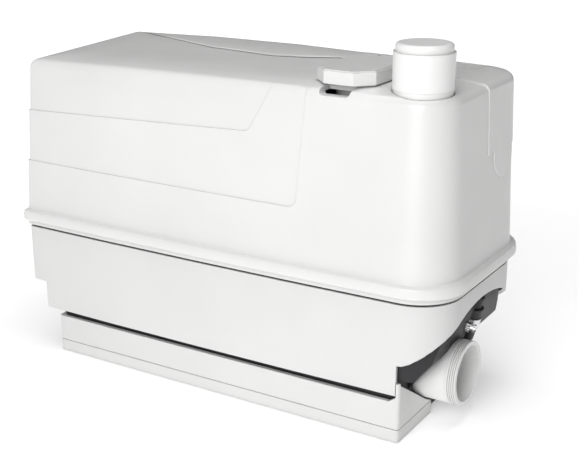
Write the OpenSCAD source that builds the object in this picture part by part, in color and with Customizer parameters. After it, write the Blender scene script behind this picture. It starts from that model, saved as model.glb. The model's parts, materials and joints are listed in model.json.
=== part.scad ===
/* [Enclosure] */
// Length of the tank shell between its end walls
tank_l = 382; // [376:1:404]
// Width of the tank shell at the ends of its long walls
tank_w = 154; // [152:1:164]
// How far the long walls bow out at mid-length
wall_bow = 2; // [0.5:0.1:3]
// How much further the left end lies from the middle than the right end
left_extra = 4; // [0:0.5:6]
// Corner radius of the enclosure at its left end
left_corner_r = 3; // [3:0.5:8]
// Corner radius of the enclosure at its right end
right_corner_r = 34; // [30:1:38]
// Wall thickness of the tank shell
shell_t = 2.8; // [2:0.1:3]
// Height of the tank shell
shell_h = 71; // [70:1:90]
// Height of the dark slot between the base and the tank shell
slot_h = 5; // [3:0.5:7]
// Height of the rubber seal between the tank shell and the deck
seal_h = 2; // [1.5:0.1:3]
// Width of the rubber seal
seal_w = 5; // [3:0.5:5]

/* [End arches] */
// Rise of the elliptical arch cut into each end of the tank shell
arch_rise = 48; // [40:1:52]
// Straight height of the arch's sides below the ellipse
arch_side_h = 10.6; // [8:0.1:14]
// How far the arch runs out past each long wall
arch_over = 3; // [1:0.5:6]
// How far the arch cuts along the long walls at the right end
arch_right_run = 33; // [28:1:36]
// How far the arch cuts along the long walls at the left end
arch_left_run = 15; // [10:1:30]

/* [Base] */
// Distance of the base's right end inside the tank shell's
base_right_in = 29.5; // [26:0.5:34]
// Distance of the base's left end inside the tank shell's
base_left_in = 28; // [26:0.5:34]
// How far the base stands out of the tank shell's long walls
base_side_out = 0.8; // [0.4:0.1:2]
// Height of the base with its plate
base_h = 33; // [30:1:38]
// Wall thickness of the base skirt
base_t = 3.6; // [3:0.1:4]
// Vertical corner radius of the base
base_corner_r = 3; // [2:0.5:6]
// Height of the base plate
plate_h = 11; // [9:0.5:14]
// Thickness of the base plate's top and rim
plate_t = 3; // [2.4:0.1:4]
// Height of the fine seam above the base plate
plate_seam = 0.5; // [0.3:0.1:1]
// Height of the cheek's corner above the base skirt
cheek_h = 15; // [12:0.5:18]
// Length of the cheek along the right end wall
cheek_run = 58; // [50:1:62]
// Depth of the notch under the right spigot
notch_l = 20; // [16:1:24]
// Distance of the notch's rear side from the middle
notch_y = 24; // [20:1:26]
// Radius of the rubber foot pads
pad_r = 12; // [8:0.5:14]
// Thickness of the rubber foot pads
pad_h = 4; // [3:0.5:6]
// How far the pads stand below the base plate
pad_out = 1; // [0.5:0.1:2]

/* [Cover] */
// Height of the cover from its seat to its crown
cover_h = 142.6; // [138:0.2:150]
// How far the cover's end walls stand out of the tank shell above the band
cover_out = 0.5; // [0:0.1:1.5]
// Draft of each end wall from the band to the top edge
end_draft = 5.5; // [3:0.5:8]
// Draft of each long wall from the band to the top edge
side_draft = 4; // [2:0.5:5]
// Wall thickness of the cover
cover_t = 2.6; // [2:0.1:3]
// How far the band stands out of the tank shell at the right end
band_right_out = 6; // [4:0.5:9]
// How far the band stands out of the tank shell at the left end
band_left_out = 2; // [1.5:0.5:6]
// How far the band stands out of the tank shell's long walls
band_side_out = 5.5; // [4:0.5:8]
// Height of the band
band_h = 9; // [7:0.5:12]
// Height of the grey seam below the band
seam_h = 0.8; // [0.4:0.1:1.4]
// Radius of the cover's top edge
top_edge_r = 6; // [4:0.5:8]
// Rise of the crown over the top edge
crown_h = 1.5; // [0.8:0.1:2]
// Rise of the top at mid-length
crown_rise = 1.8; // [0:0.1:3]
// Fall of the top from mid-length to its ends
crown_fall = 2.4; // [0:0.1:4]
// How much higher the rear edge of the top lies than its middle
crown_lean = 1.6; // [0:0.1:2.5]
// How much of that lean is added at the left end and lost at the right end
crown_twist = 1.4; // [0:0.1:2]

/* [Cover panels] */
// Height of the lower edge of the side panel above the cover's seat
panel_z = 52.6; // [46:0.2:60]
// Distance of the side panel's upright edge from the middle
panel_x = 74; // [66:1:80]
// Depth of the side panel's step
panel_step = 0.7; // [0.4:0.1:1]
// Corner radius of the side panel
panel_r = 8; // [5:0.5:12]
// Height of the hood line's left end above the cover's seat
hood_z = 95; // [88:1:98]
// Height of the hood line's knee above the cover's seat
knee_z = 104; // [100:1:108]
// Distance of the hood line's knee from the middle
knee_x = 30; // [24:1:36]
// Distance of the hood line's upper end from the middle
hood_x = 53; // [46:1:60]
// Depth of the step round the hood
hood_step = 1.2; // [0.8:0.1:2]
// Extra lean of the hood's walls over its height
hood_lean = 0.4; // [0:0.1:1.5]
// Depth of the raised corner at the right rear
raise_step = 0.8; // [0.4:0.1:1]
// Height of the raised corner's lower edge above the cover's seat
raise_z = 90; // [84:1:98]
// Width of the tongue below the raised corner
tongue_w = 36; // [30:1:42]
// Length of the tongue below the raised corner
tongue_l = 22; // [16:1:26]

/* [Vent lid] */
// Length of the lid from front to back
lid_l = 80; // [76:1:84]
// Width of the lid
lid_w = 47; // [44:1:48]
// Thickness of the lid
lid_t = 10; // [8:0.5:12]
// Size of the lid's cut corners
lid_cut = 12; // [9:0.5:14]
// Gap under the lid
lid_gap = 1.2; // [0.8:0.1:1.6]
// Distance of the lid's middle from the tank shell's right end
lid_in = 89; // [88:0.5:91]
// Distance of the lid's front edge behind the tank shell's front wall
lid_front_in = 10; // [9:0.5:13]
// Radius of the hinge pin
pin_r = 1.8; // [1.5:0.1:2]
// Radius of the hinge knuckles
knuckle_r = 4.4; // [4:0.1:4.8]
// Depth of the finger gap in front of the lid
finger_h = 6; // [4:0.5:7]
// Width of the finger gap
finger_w = 24; // [20:1:28]
// Radius of the filter cartridge
filter_r = 19; // [16:0.5:20]
// Height of the filter cartridge
filter_h = 26; // [20:1:30]
// Radius of the vent pipe
vent_r = 7; // [5:0.5:8]

/* [Discharge] */
// Radius of the discharge tube
tube_r = 21.5; // [21.5:0.1:22.5]
// Radius of the socket for the 40 mm pipe
socket_r = 20.1; // [19.6:0.1:20.4]
// Depth of the pipe socket
socket_h = 32; // [24:1:40]
// Height of the discharge tube above the cover's crown
tube_out = 27; // [20:1:34]
// Distance of the discharge tube from the tank shell's right end
tube_in = 33; // [32:0.5:35]
// Distance of the discharge tube behind the tank shell's front wall
tube_front_in = 29; // [28:0.5:31]
// Height of the cap above the tube
cap_out = 6; // [4:0.5:8]
// Bore radius of the discharge line
line_r = 12; // [10:0.5:13]
// Wall thickness of the discharge line
line_t = 2.4; // [2:0.1:2.6]
// Height of the discharge line's axis above the deck
line_z = 46; // [44:1:50]

/* [Check valve] */
// Radius of the check valve chamber
valve_r = 22; // [22:0.5:24]
// Height of the check valve chamber
valve_h = 62; // [60:1:70]
// Radius of the check valve flap
flap_r = 15; // [14:0.5:15]
// Thickness of the check valve flap
flap_t = 3; // [2:0.1:4]
// Height of the valve seat above the deck
valve_seat_h = 12; // [9:0.5:14]

/* [Inlet] */
// Outer radius of the inlet spigot
spigot_r = 25; // [24:0.1:25.4]
// Bore radius of the inlet spigot
spigot_bore_r = 21.5; // [20.5:0.1:22]
// Distance of the right spigot's mouth inside the tank shell's end
spigot_in = 0.5; // [0:0.1:3]
// Distance of the left spigot's mouth inside the tank shell's end
left_spigot_in = 8; // [6:0.5:12]
// Distance of the right spigot in front of the middle
spigot_y = 20; // [18:0.5:22]
// Height of the spigot's axis
spigot_z = 41; // [40:0.5:42]
// Length of the grooved collar at the spigot's mouth
collar_l = 8; // [7:0.5:11]
// Depth of the collar's grooves
groove_d = 0.7; // [0.4:0.1:1]
// Thickness of the rubber inlet flap
inlet_flap_t = 3; // [2:0.1:4]
// Thickness of the inlet flange inside the tank
flange_t = 4; // [3:0.5:5]

/* [Breather hose] */
// Distance of the hose's foot from the tank shell's right end
hose_in = 17; // [16:0.5:18]
// Distance of the hose behind the spigot's axis
hose_side = 26; // [25:0.5:28]
// Height of the hose's foot above the spigot's axis
hose_rise = 18.5; // [17:0.5:19]
// Radius of the breather hose
hose_r = 8.5; // [7.5:0.1:9]
// Wall thickness of the breather hose
hose_t = 2; // [1.6:0.1:2.4]
// Length of the breather hose
hose_l = 27; // [24:0.5:28]
// Width of the worm-drive clip
clip_w = 9; // [7:0.5:10]
// Thickness of the clip's band
clip_t = 0.8; // [0.6:0.1:1]

/* [Pump] */
// Distance of the motor and pump axis left of the middle
pump_x = 85; // [80:1:90]
// Radius of the impeller
impeller_r = 27; // [24:0.5:28]
// Number of impeller vanes
vanes = 7; // [4:1:10]
// Thickness of an impeller vane
vane_t = 2.6; // [2:0.1:3.4]
// Height of an impeller vane
vane_h = 8; // [6:0.5:9]
// Inner height of the pump casing
casing_h = 21; // [20:0.5:22]
// Smallest inner radius of the volute
volute_r = 30; // [29:0.5:32]
// Growth of the volute's radius over one turn
volute_growth = 14; // [12:0.5:15]
// Wall thickness of the pump casing
casing_t = 3; // [2.4:0.1:3.4]
// Height of the pump casing's underside
casing_z = 24; // [22:0.5:26]
// Radius of the suction opening
suction_r = 15; // [12:0.5:17]

/* [Motor] */
// Radius of the stator housing
motor_r = 46; // [42:0.5:47]
// Height of the stator housing
housing_h = 70; // [64:1:74]
// Wall thickness of the stator housing
housing_t = 3; // [2.4:0.1:3.6]
// Radius of the stator bore
stator_bore_r = 24; // [22:0.5:26]
// Height of the stator stack
stack_h = 40; // [34:1:44]
// Number of stator slots
slots = 18; // [12:2:24]
// Air gap between rotor and stator
air_gap = 0.5; // [0.4:0.1:0.8]
// Radius of the shaft
shaft_r = 5; // [4.5:0.1:5.5]
// Radius of the ball bearings
bearing_r = 14; // [13:0.5:15]
// Width of the ball bearings
bearing_w = 9; // [8:0.5:10]
// Radius of the cooling fan
fan_r = 38; // [34:0.5:40]
// Number of fan blades
fan_blades = 9; // [6:1:12]

/* [Controls] */
// Radius of the level switch housing
switch_r = 17; // [15:0.5:19]
// Height of the level switch housing
switch_h = 14; // [12:0.5:16]
// Travel of the level switch plunger
switch_travel = 2; // [1:0.1:2.5]
// Radius of the pressure bell
bell_r = 11; // [9:0.5:13]
// Length of the pressure bell
bell_l = 62; // [56:1:66]
// Length of the control box
box_l = 44; // [40:1:48]
// Width of the control box
box_w = 34; // [30:1:36]
// Height of the control box
box_h = 48; // [40:1:54]
// Radius of the motor capacitor
capacitor_r = 16; // [14:0.5:17]
// Height of the motor capacitor
capacitor_h = 66; // [56:1:72]

/* [Cable outlet] */
// Length of the cable pocket in the top of the cover
pocket_l = 40; // [34:1:42]
// Width of the cable pocket
pocket_w = 34; // [30:1:35]
// Depth of the cable pocket
pocket_h = 18; // [15:0.5:22]
// Corner radius of the cable pocket
pocket_r = 10; // [6:0.5:12]
// Radius of the cable hole in the grommet
cable_r = 3.8; // [3:0.1:4.5]

/* [Hidden] */
$fn = 64;

// Overrun of every cut
overrun = 2;
// Radial clearance of a running fit
run_fit = 0.05;
// Radial clearance of pieces that seat in each other
seat_fit = 0.15;
// Clearance between pieces that move apart
free_gap = 0.5;
// Smallest corner radius of a lofted outline
corner_min = 3;
// Steps of a rounded corner, of a long wall and of the cover's top edge
arc_n = 10;
tight_n = 4;
side_n = 4;
edge_n = 4;
// Height of the deck's light lip
deck_lip_h = 3.4;
// How far the deck's lip stands out of the tank shell
deck_lip_out = 1;
// Inset of the rubber seal from the tank shell's face
seal_inset = 1.5;
// Rounding of the band
band_edge = 1.6;
// Width of the sloping margin of the cover's crown, and the widths of its rings as shares of it
crown_run = 12;
crown_ring_shares = [1, 3, 4.5];
// Shares of the band's overhang at the levels of its profile
band_low_share = 0.7;
band_shares = [0.86, 0.56, 0.14];
// Thickness and inset of the cheek and of the inner tank's walls
cheek_t = 2.6;
tank_t = 3;
tank_gap = 1.4;
// Clearance between the inner tank's long walls and the tank shell
tank_side_gap = 0.8;

// Levels of the stack, from the floor up
shell_z = base_h + slot_h;
shell_top = shell_z + shell_h;
deck_z = shell_top + seal_h;
deck_top = deck_z + deck_lip_h;
band_z = deck_top + seam_h;
band_top = band_z + band_h;
cover_top = deck_top + cover_h;
tank_floor_z = plate_h + tank_t;
// Reach of cuts and zones past the whole part
far = tank_l + tank_w;
// Distances of the ends and the long walls from the middle
right_x = (tank_l - left_extra) / 2;
left_x = (tank_l + left_extra) / 2;
half_w = tank_w / 2;
base_right = right_x - base_right_in;
base_left = left_x - base_left_in;
base_w = tank_w + 2 * base_side_out;
arch_w = tank_w + 2 * arch_over;
top_right = right_x + cover_out - end_draft;
top_left = left_x + cover_out - end_draft;
top_half = half_w - side_draft;
lid_x = right_x - lid_in;
lid_front = half_w - lid_front_in;
tube_x = right_x - tube_in;
tube_y = half_w - tube_front_in;
spigot_x = right_x - spigot_in;
left_spigot_x = left_x - left_spigot_in;
hose_x = right_x - hose_in;
hose_y = hose_side - spigot_y;
hose_z = spigot_z + hose_rise;

// Outline of the enclosure: tight corners at the left end, wide ones at the right, and bowed long walls
function arc_points(x, y, r, start, n = arc_n) =
  [for (i = [0 : n]) [x + r * cos(start + 90 * i / n), y + r * sin(start + 90 * i / n)]];
function side_points(x0, x1, y, bow) =
  [for (i = [1 : side_n - 1]) let(s = i / side_n) [x0 + (x1 - x0) * s, y + bow * (1 - pow(2 * s - 1, 2))]];
function plan(right, left, half, rl, rr, bow) = concat(
  arc_points(right - rr, half - rr, rr, 0),
  side_points(right - rr, rl - left, half, bow),
  arc_points(rl - left, half - rl, rl, 90, tight_n),
  arc_points(rl - left, rl - half, rl, 180, tight_n),
  side_points(rl - left, right - rr, -half, -bow),
  arc_points(right - rr, rr - half, rr, 270));
function outline(right, left, half) =
  plan(right, left, half, left_corner_r, max(corner_min, right_corner_r + right - right_x), wall_bow);
function inset_outline(inset) = outline(right_x - inset, left_x - inset, half_w - inset);

// Lift of the crowned top at a point
function crown(p) =
  let(end = p[0] / top_right, side = p[1] / top_half)
  crown_rise - crown_fall * end * end + side * (crown_lean - crown_twist * end);
// Solid through a list of rings, each [height, right end, left end, half width, share of the crown]
module loft(rings) {
  n = len(outline(right_x, left_x, half_w));
  last = len(rings) - 1;
  top = rings[last];
  middle = [(top[1] - top[2]) / 2, 0];
  points = [for (ring = rings) for (p = outline(ring[1], ring[2], ring[3])) [p[0], p[1], ring[0] + ring[4] * crown(p)]];
  sides = [for (k = [0 : last - 1]) for (i = [0 : n - 1])
    let(a = k * n + i, b = k * n + (i + 1) % n) each [[a, a + n, b + n], [a, b + n, b]]];
  cap = [for (i = [0 : n - 1]) [last * n + (i + 1) % n, last * n + i, (last + 1) * n]];
  polyhedron(concat(points, [[middle[0], middle[1], top[0] + top[4] * crown(middle)]]),
    concat([[for (i = [0 : n - 1]) i]], sides, cap));
}

// Arc that rounds the corner b between a and c
function unit(v) = v / norm(v);
function round_corner(a, b, c, r) =
  let(u = unit(a - b), v = unit(c - b), half = acos(u * v) / 2, middle = b + unit(u + v) * r / sin(half),
    start = b + u * r / tan(half) - middle, stop = b + v * r / tan(half) - middle,
    from = atan2(start[1], start[0]), sweep = (atan2(stop[1], stop[0]) - from + 540) % 360 - 180)
  [for (i = [0 : arc_n]) middle + r * [cos(from + sweep * i / arc_n), sin(from + sweep * i / arc_n)]];

// Prism of an XZ outline along Y, and of a YZ outline along X
module along_y(points, width) {
  rotate([90, 0, 0]) linear_extrude(width, center = true) polygon(points);
}
module along_x(points, length) {
  rotate([90, 0, 90]) linear_extrude(length) polygon(points);
}
module rounded_rect(l, w, r) {
  square([l, w - 2 * r], center = true);
  square([l - 2 * r, w], center = true);
  for (x = [-1, 1], y = [-1, 1]) translate([x * (l / 2 - r), y * (w / 2 - r)]) circle(r);
}
module tube(r, t, h) {
  difference() {
    cylinder(r = r, h = h);
    sink() cylinder(r = r - t, h = h + 2 * overrun);
  }
}
module up(z) {
  translate([0, 0, z]) children();
}
module sink() {
  up(-overrun) children();
}
module through(r) {
  up(-far / 2) cylinder(r = r, h = far);
}
module on_x() {
  rotate([0, 90, 0]) children();
}

// Rounding of the inner tank's right rear corner
tank_rear_r = 45;

// Base, from the rubber pads to the skirt
pad_x = base_right - notch_l - 2 * pad_r;
pad_y = base_w / 2 - 2 * pad_r;
rib_t = 2.4;
rib_pitch = 38;
rear_corner_r = tank_rear_r + tank_gap + base_t;
seam_d = 0.8;
set_y = cheek_run - base_w / 2;
module at_pads() {
  for (x = [-1, 1], y = [-1, 1]) translate([x * pad_x, y * pad_y, 0]) children();
}
module foot_pads() {
  color("dimgray") at_pads() cylinder(r = pad_r, h = pad_h);
}
module base_outline(inset) {
  corner = rear_corner_r - inset;
  difference() {
    translate([(base_right - base_left) / 2, 0])
      rounded_rect(base_right + base_left - 2 * inset, base_w - 2 * inset, base_corner_r);
    translate([base_right - rear_corner_r, base_w / 2 - rear_corner_r]) difference() {
      square(2 * rear_corner_r);
      circle(corner);
    }
  }
}
module notch(margin) {
  translate([base_right - notch_l - margin, set_y - margin, -overrun])
    cube([notch_l + margin + overrun, notch_y - set_y + 2 * margin, base_h]);
}
module base_plate() {
  color("white") difference() {
    up(pad_out) linear_extrude(plate_h - pad_out) base_outline(0);
    notch(0);
    difference() {
      sink() linear_extrude(plate_h - plate_t + overrun) base_outline(plate_t);
      for (x = [-rib_pitch * 3 : rib_pitch : rib_pitch * 3])
        translate([x - rib_t / 2, -base_w / 2, 0]) cube([rib_t, base_w, plate_h]);
      translate([-base_left, -rib_t / 2, 0]) cube([base_left + base_right - notch_l, rib_t, plate_h]);
      at_pads() cylinder(r = pad_r + plate_t, h = plate_h);
      notch(plate_t);
    }
    at_pads() up(pad_h - plate_h) cylinder(r = pad_r + seat_fit, h = plate_h);
  }
}
// The cheek at the right front climbs past the skirt and slants down along the end wall to the spigot
cheek_low_z = 16;
cheek_low_run = 49;
cheek_tip = 2.4;
cheek_foot = 8.4;
module cheek() {
  end_x = base_right;
  front_y = -base_w / 2;
  foot_z = plate_h + plate_seam;
  intersection() {
    linear_extrude(base_h + cheek_h) base_outline(0);
    union() {
      translate([end_x - cheek_t, 0, 0]) along_x([[front_y, foot_z], [front_y, base_h + cheek_h],
        [front_y + cheek_low_run, cheek_low_z], [set_y, foot_z]], cheek_t);
      translate([0, front_y + cheek_t / 2, 0]) along_y([[end_x - cheek_foot, base_h - overrun],
        [end_x - cheek_foot, base_h], [end_x - cheek_tip, shell_z - seam_d], [end_x - cheek_tip, base_h + cheek_h],
        [end_x, base_h + cheek_h], [end_x, base_h - overrun]], cheek_t);
    }
  }
}
module base_skirt() {
  left_notch_r = spigot_r + tank_t;
  color("white") {
    difference() {
      union() {
        up(plate_h) linear_extrude(plate_seam) base_outline(seam_d);
        up(plate_h + plate_seam) linear_extrude(base_h - plate_h - plate_seam) base_outline(0);
      }
      up(plate_h - overrun) linear_extrude(base_h) base_outline(base_t);
      translate([base_right - notch_l, base_t + seam_d - base_w / 2, plate_h - overrun])
        cube([notch_l + overrun, notch_y + base_w / 2 - base_t - seam_d, base_h]);
      translate([-base_left - overrun, spigot_y, spigot_z]) on_x()
        cylinder(r = left_notch_r, h = base_t + 2 * overrun);
    }
    cheek();
  }
}

// Inner tank: dark, with ends that slope in towards the sump
tank_half_w = half_w - shell_t - tank_side_gap;
tank_low_x = base_right - base_t - tank_gap;
tank_low_left = base_left - base_t - tank_gap;
tank_high_x = right_x - shell_t - 2 * tank_gap;
tank_high_left = left_x - shell_t - 2 * tank_gap;
tank_left_r = 6;
// Shares of the end's run and of the arch's rise at the two bends of the sloping end
bend_run_share = 0.78;
bend_rise_share = 0.6;
top_rise_share = 1.08;
// Height that the rounding of the right rear corner reaches above the shell's foot
tank_rear_h = 20;
tank_rear_z = shell_z + tank_rear_h;
toe_gap = 0.6;
// Width that the tank leaves free behind the cheek
cheek_clear_w = 26;
function tank_end(low, high, inset) =
  [[low - inset, plate_h + inset], [low - inset, base_h],
    [low + (high - low) * bend_run_share - inset, base_h + arch_rise * bend_rise_share],
    [high - inset, base_h + arch_rise * top_rise_share], [high - inset, shell_top + inset]];
function tank_profile(inset) =
  let(left = tank_end(tank_low_left, tank_high_left, inset))
  concat(tank_end(tank_low_x, tank_high_x, inset), [for (i = [len(left) - 1 : -1 : 0]) [-left[i][0], left[i][1]]]);
module tank_body(inset) {
  corner = tank_rear_r - inset;
  intersection() {
    up(plate_h) linear_extrude(shell_top - plate_h + inset)
      polygon(plan(tank_high_x - inset, tank_high_left - inset, tank_half_w - inset, tank_left_r, right_corner_r - shell_t, 0));
    along_y(tank_profile(inset), tank_w);
    difference() {
      translate([-far / 2, -far / 2, 0]) cube([far, far, far]);
      translate([tank_low_x - tank_rear_r, tank_half_w - tank_rear_r, -overrun]) difference() {
        cube([tank_l, tank_w, tank_rear_z + inset + overrun]);
        cylinder(r = corner, h = far);
      }
      translate([tank_low_x - inset, -far, -overrun])
        cube([far, far - base_w / 2 + cheek_clear_w + inset, base_h + cheek_h + free_gap + inset + overrun]);
    }
  }
}

// The breather hose leans along the sloping end, from the spigot's crown to the tank
hose_lean = 16;
nipple_l = 9;
nipple_r = hose_r - hose_t - run_fit;
groove_gap = 1;
module at_hose() {
  translate([hose_x, hose_y, hose_z]) rotate([0, hose_lean, 0]) children();
}
module hose_bar(r, below, above) {
  at_hose() up(-below) cylinder(r = r, h = hose_l + below + above);
}

// The two inlets share one shape: the right one opens to the front, the left one to the rear
seat_in = 10;
inlet_seat_x = tank_low_x - seat_in;
left_seat_x = tank_low_left - seat_in;
flange_lap = 1.6;
flange_r = spigot_r + flange_lap;
boss_t = 4;
// The left boss leaves room for the blanking cap and its clip
plug_l = 15;
plug_t = 2.5;
plug_space_r = spigot_r + plug_t + clip_t + free_gap;
worm_r = 2.6;
worm_l = 11;
clip_place = 10;
clip_turn = -75;
module at_hose_clip() {
  at_hose() up(clip_place) rotate([0, 0, clip_turn]) children();
}
// Room for the clip's housing and screw beside the hose
module clip_space(margin) {
  side = worm_l / 2 + overrun + free_gap + margin;
  at_hose_clip() translate([0, -side, -free_gap - margin])
    cube([hose_r + clip_t + 2 * worm_r + free_gap + margin, 2 * side, clip_w + 2 * free_gap + 2 * margin]);
}
module at_inlet(side) {
  translate([0, -side * spigot_y, spigot_z]) rotate([0, side * 90, 0]) children();
}
module tank_body_toe() {
  translate([0, -tank_half_w, 0]) cube([tank_low_x, 2 * tank_half_w, plate_h + tank_t]);
}
module inner_tank() {
  hose_bore_r = hose_r - 2 * hose_t;
  color("darkslategray") difference() {
    union() {
      difference() {
        tank_body(0);
        tank_body(tank_t);
      }
      intersection() {
        tank_body(0);
        union() {
          at_inlet(1) up(inlet_seat_x) cylinder(r = spigot_r + boss_t, h = tank_l);
          at_inlet(-1) up(left_seat_x) cylinder(r = plug_space_r + tank_t, h = tank_l);
          hose_bar(hose_r + groove_gap + tank_t, overrun, tank_t + groove_gap);
          clip_space(tank_t);
        }
      }
      intersection() {
        translate([base_right - notch_l + toe_gap, set_y + toe_gap, pad_out + toe_gap])
          cube([tank_low_x - base_right + notch_l - toe_gap, notch_y - set_y - 2 * toe_gap, plate_h - pad_out]);
        tank_body_toe();
      }
      intersection() {
        hose_bar(nipple_r, nipple_l - hose_l, nipple_l);
        translate([0, -half_w, 0]) cube([tank_high_x + hose_r, tank_w, shell_top - seal_w]);
      }
    }
    difference() {
      union() {
        hose_bar(hose_r + groove_gap, hose_l, 0);
        clip_space(0);
      }
      hose_bar(nipple_r, nipple_l - hose_l, nipple_l);
    }
    at_inlet(1) up(inlet_seat_x - overrun) cylinder(r = spigot_r + seat_fit, h = tank_l);
    at_inlet(-1) up(left_seat_x - overrun) cylinder(r = spigot_r + seat_fit, h = tank_l);
    at_inlet(-1) up(left_spigot_x - plug_l - free_gap) cylinder(r = plug_space_r, h = tank_l);
    hose_bar(hose_bore_r, hose_l, hose_bore_r);
    at_hose() up(hose_l) rotate([0, -90 - hose_lean, 0])
      cylinder(r = hose_bore_r - hose_t / 2, h = hose_r + groove_gap + 2 * tank_t + overrun);
  }
}

// Tank shell: two elliptical arches open its ends over the sloping ends of the inner tank
rib_w = 6;
rib_place_share = 0.75;
arch_n = 24;
function arch_points() =
  let(spring = shell_z + arch_side_h, half = arch_w / 2)
  concat([[half, -far], [half, spring]],
    [for (i = [1 : arch_n - 1]) [half * cos(180 * i / arch_n), spring + arch_rise * sin(180 * i / arch_n)]],
    [[-half, spring], [-half, -far]]);
module tank_shell() {
  color("white") difference() {
    up(shell_z) linear_extrude(shell_h) polygon(inset_outline(0));
    difference() {
      up(shell_z - overrun) linear_extrude(shell_h + 2 * overrun) polygon(inset_outline(shell_t));
      for (x = [-1, 0, 1], side = [-1, 1])
        translate([x * tank_low_x * rib_place_share - rib_w / 2, side > 0 ? tank_half_w : -tank_w, shell_z])
          cube([rib_w, tank_w - tank_half_w, shell_h]);
    }
    translate([right_x - arch_right_run, 0, 0]) along_x(arch_points(), arch_right_run + overrun);
    translate([-left_x - overrun, 0, 0]) along_x(arch_points(), arch_left_run + overrun);
  }
}
module tank_seal() {
  color("dimgray") up(shell_top) linear_extrude(seal_h) difference() {
    polygon(inset_outline(seal_inset));
    polygon(inset_outline(seal_inset + seal_w));
  }
}

// Places on the deck
riser_y = volute_r + line_r / 4;
column_r = 20;
bend_r = 18;
socket_l = 10;
riser_x = volute_r + volute_growth / 4 + casing_t + socket_l + bend_r + free_gap - pump_x;
bell_x = 78;
bell_y = 42;
bell_neck_r = 5;
vent_y = 14;
box_x = 8;
box_y = 8;
capacitor_x = -14;
capacitor_y = 46;
// Deck: the light plate that closes the tank and carries the motor, the valve and the controls
deck_rim_h = 5;
deck_rim_t = 2.6;
catch_w = 12;
catch_t = 1.8;
catch_h = 11;
catch_lip = 1;
catch_lip_h = 3;
catch_share = 0.67;
module at_catches() {
  for (x = [-1, 0, 1], side = [-1, 1])
    translate([x * right_x * catch_share, side * (half_w - cover_inner - free_gap), deck_top])
      rotate([0, 0, side * 90]) children();
}
module machine_deck() {
  color("white") {
    difference() {
      union() {
        up(deck_z) linear_extrude(deck_lip_h) polygon(inset_outline(-deck_lip_out));
        up(deck_z - deck_rim_h) linear_extrude(deck_rim_h) difference() {
          deck_rim_outline(0);
          deck_rim_outline(deck_rim_t);
        }
      }
      translate([-pump_x, 0, 0]) cylinder(r = column_r - line_t - seat_fit, h = far);
      translate([riser_x, -riser_y, 0]) cylinder(r = line_r, h = far);
      translate([lid_x, -vent_y, 0]) cylinder(r = vent_r - line_t, h = far);
      translate([bell_x, bell_y, 0]) cylinder(r = bell_neck_r + seat_fit, h = far);
    }
    at_catches() translate([-catch_t, -catch_w / 2, 0]) {
      cube([catch_t, catch_w, catch_h]);
      up(catch_h - catch_lip_h) cube([catch_t + catch_lip, catch_w, catch_lip_h]);
    }
  }
}
module deck_rim_outline(inset) {
  in = tank_t + seat_fit + inset;
  polygon(plan(tank_high_x - in, tank_high_left - in, tank_half_w - in, tank_left_r + tank_gap, right_corner_r, 0));
}

// Cover: a drafted hood with a bead round its foot, stepped panels and rounded top edges
cover_inner = cover_t + hood_step + hood_lean;
cover_inner_top = cover_top - crown_h - cover_t - hood_step / 2;
hood_base = deck_top + panel_z;
panel_lean = 5;
hood_r = 8;
raise_x = 118;
raise_y = 2;
raise_base = deck_top + raise_z - tongue_w;
tongue_gap = 11;
pocket_out = 5;
pocket_right_x = tube_x + pocket_out;
pocket_margin = 1;
lid_bottom = cover_top + lid_gap;
function wall_share(z) = (z - band_top) / (cover_top - band_top);
function wall_ring(z, inset) =
  [z, right_x + cover_out - end_draft * wall_share(z) - inset, left_x + cover_out - end_draft * wall_share(z) - inset,
    half_w - side_draft * wall_share(z) - inset, 0];
function top_ring(z, inset) = [z, top_right - inset, top_left - inset, top_half - inset, 1];
function top_rings(inset, lift) = concat(
  [for (i = [0 : edge_n]) top_ring(cover_top + lift - crown_h - top_edge_r * (1 - sin(90 * i / edge_n)),
    inset + top_edge_r * (1 - cos(90 * i / edge_n)))],
  [for (share = crown_ring_shares) top_ring(cover_top + lift, inset + top_edge_r + crown_run * share)]);
// Ring of the band, a share of the way out from the wall
function band_ring(z, share) =
  [z, right_x + cover_out + (band_right_out - cover_out) * share, left_x + cover_out + (band_left_out - cover_out) * share,
    half_w + band_side_out * share, 0];
band_rings = [
  [deck_top, right_x, left_x, half_w, 0],
  [band_z, right_x, left_x, half_w, 0],
  band_ring(band_z, band_low_share),
  band_ring(band_z + band_edge, 1),
  band_ring(band_top - 2 * band_edge, 1),
  band_ring(band_top - band_edge / 2, band_shares[0]),
  band_ring(band_top, band_shares[1]),
  band_ring(band_top + band_edge / 2, band_shares[2]),
  band_ring(band_top + 2 * band_edge, 0)];
module panel_zone() {
  top = [panel_x + panel_lean, cover_top + overrun];
  low = [panel_x - panel_lean / 2, hood_base];
  along_y(concat([[-far, cover_top + overrun], [-far, hood_base]],
    round_corner([-far, hood_base], low, top, panel_r), [top]), far);
}
module hood_zone() {
  slope = (knee_z - hood_z) / (knee_x + left_x);
  knee = [knee_x, deck_top + knee_z];
  left = [-far, deck_top + knee_z - slope * (knee_x + far)];
  top = [hood_x, cover_top + overrun];
  along_y(concat([[-far, cover_top + overrun], left], round_corner(left, knee, top, hood_r), [top]), far);
}
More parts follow.
